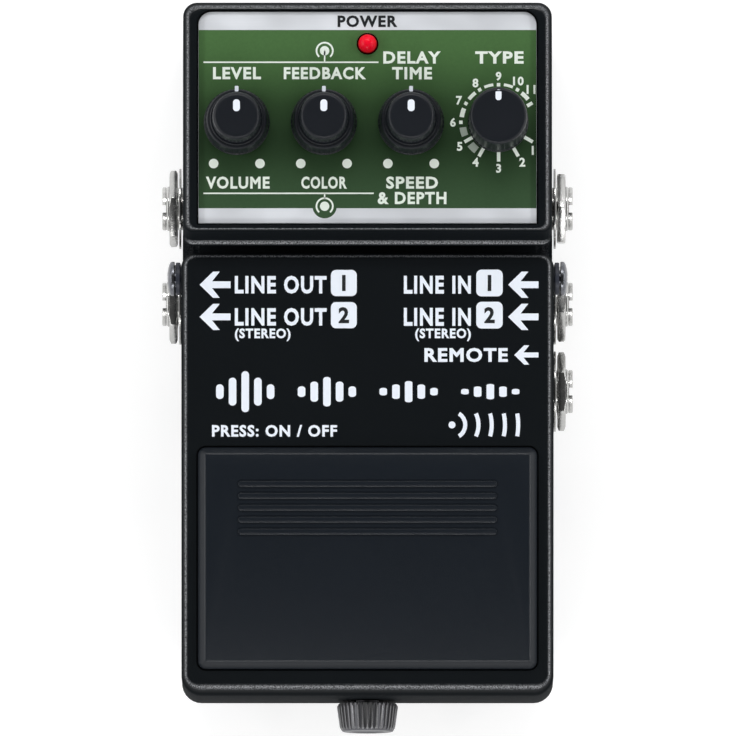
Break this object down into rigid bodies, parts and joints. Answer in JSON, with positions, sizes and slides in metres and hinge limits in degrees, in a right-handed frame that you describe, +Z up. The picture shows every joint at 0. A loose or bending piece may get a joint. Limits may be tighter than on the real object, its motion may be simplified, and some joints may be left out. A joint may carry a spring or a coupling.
{
  "type": "delay pedal",
  "caption": "Compact delay pedal with a sprung treadle, concentric control knobs, a mode switch, a status light and phone jacks on both sides.",
  "frame": {"origin": "middle of the bounding box, at the height that the rubber base stands on", "axes": "+Z up, +Y towards the power jack at the rear, +X to the right of the player"},
  "size_m": [0.0732, 0.129, 0.059],
  "materials": {
    "case_paint": "semi-gloss black powder paint with a fine texture",
    "label_green": "printed sheet, satin",
    "rubber_black": "matte black rubber",
    "knob_black": "satin black moulded plastic",
    "nickel": "bright nickel plate",
    "dark_chrome": "dark plated steel",
    "thumb_steel": "knurled, dark plated",
    "zinc_steel": "zinc plated",
    "board": "green circuit board",
    "black_plastic": "moulded black plastic",
    "blue_nylon": "bluish black nylon",
    "led_red": "clear red dome",
    "battery_skin": "printed metal jacket",
    "plunger_white": "natural nylon"
  },
  "bodies": {
    "chassis": {"base_plate": "zinc_steel", "base_rubber": "rubber_black", "base_screw_1": "zinc_steel", "base_screw_2": "zinc_steel", "base_screw_3": "zinc_steel", "base_screw_4": "zinc_steel", "battery": "battery_skin", "battery_snap": "black_plastic", "case": "case_paint", "dc_jack": "black_plastic", "dual_pot_1": "dark_chrome", "dual_pot_2": "dark_chrome", "dual_pot_3": "dark_chrome", "foot_switch": "black_plastic", "guide_bush": "black_plastic", "hinge_bush_left": "blue_nylon", "hinge_bush_right": "blue_nylon", "hinge_screw_left": "dark_chrome", "hinge_screw_right": "dark_chrome", "jack_control": "black_plastic", "jack_control_nut": "nickel", "jack_control_washer": "nickel", "jack_in_a": "black_plastic", "jack_in_a_nut": "nickel", "jack_in_a_washer": "nickel", "jack_in_b": "black_plastic", "jack_in_b_nut": "nickel", "jack_in_b_washer": "nickel", "jack_out_a": "black_plastic", "jack_out_a_nut": "nickel", "jack_out_a_washer": "nickel", "jack_out_b": "black_plastic", "jack_out_b_nut": "nickel", "jack_out_b_washer": "nickel", "main_board": "board", "mode_switch": "black_plastic", "panel_label": "label_green", "pot_board": "board", "return_spring": "zinc_steel", "status_led": "led_red"},
    "treadle": {"treadle": "case_paint", "treadle_pad": "rubber_black", "screw_insert": "zinc_steel"},
    "thumb_screw": {"thumb_screw": "thumb_steel"},
    "switch_button": {"switch_button": "plunger_white"},
    "mode_knob": {"mode_knob": "knob_black", "mode_shaft": "nickel"},
    "outer_knob_1": {"outer_knob_1": "knob_black", "outer_shaft_1": "nickel"},
    "inner_knob_1": {"inner_knob_1": "knob_black", "inner_shaft_1": "nickel"},
    "outer_knob_2": {"outer_knob_2": "knob_black", "outer_shaft_2": "nickel"},
    "inner_knob_2": {"inner_knob_2": "knob_black", "inner_shaft_2": "nickel"},
    "outer_knob_3": {"outer_knob_3": "knob_black", "outer_shaft_3": "nickel"},
    "inner_knob_3": {"inner_knob_3": "knob_black", "inner_shaft_3": "nickel"}
  },
  "joints": [
    {"name": "treadle_hinge", "type": "hinge", "parent": "chassis", "child": "treadle", "pos_m": [0, 0.0147, 0.0349], "axis": [-1, 0, 0], "range_deg": [-1.6, 75], "stiffness_Nm_per_rad": 2.4, "springref_deg": 0.69, "deforming": ["return_spring"]},
    {"name": "thumb_screw_slide", "type": "slide", "parent": "treadle", "child": "thumb_screw", "axis": [0, -1, 0], "range_m": [0, 0.005]},
    {"name": "foot_switch_press", "type": "slide", "parent": "chassis", "child": "switch_button", "axis": [0, 0, 1], "range_m": [-0.0008, 0], "stiffness_N_per_m": 800, "springref_m": 0.0004},
    {"name": "mode_turn", "type": "hinge", "parent": "chassis", "child": "mode_knob", "pos_m": [0.02318, 0.04155, 0.052], "axis": [0, 0, -1], "range_deg": [-240, 60]},
    {"name": "outer_turn_1", "type": "hinge", "parent": "chassis", "child": "outer_knob_1", "pos_m": [-0.02318, 0.04155, 0.049], "axis": [0, 0, -1], "range_deg": [-150, 150]},
    {"name": "inner_turn_1", "type": "hinge", "parent": "chassis", "child": "inner_knob_1", "pos_m": [-0.02318, 0.04155, 0.055], "axis": [0, 0, -1], "range_deg": [-150, 150]},
    {"name": "outer_turn_2", "type": "hinge", "parent": "chassis", "child": "outer_knob_2", "pos_m": [-0.00773, 0.04155, 0.049], "axis": [0, 0, -1], "range_deg": [-150, 150]},
    {"name": "inner_turn_2", "type": "hinge", "parent": "chassis", "child": "inner_knob_2", "pos_m": [-0.00773, 0.04155, 0.055], "axis": [0, 0, -1], "range_deg": [-150, 150]},
    {"name": "outer_turn_3", "type": "hinge", "parent": "chassis", "child": "outer_knob_3", "pos_m": [0.00773, 0.04155, 0.049], "axis": [0, 0, -1], "range_deg": [-150, 150]},
    {"name": "inner_turn_3", "type": "hinge", "parent": "chassis", "child": "inner_knob_3", "pos_m": [0.00773, 0.04155, 0.055], "axis": [0, 0, -1], "range_deg": [-150, 150]}
  ]
}
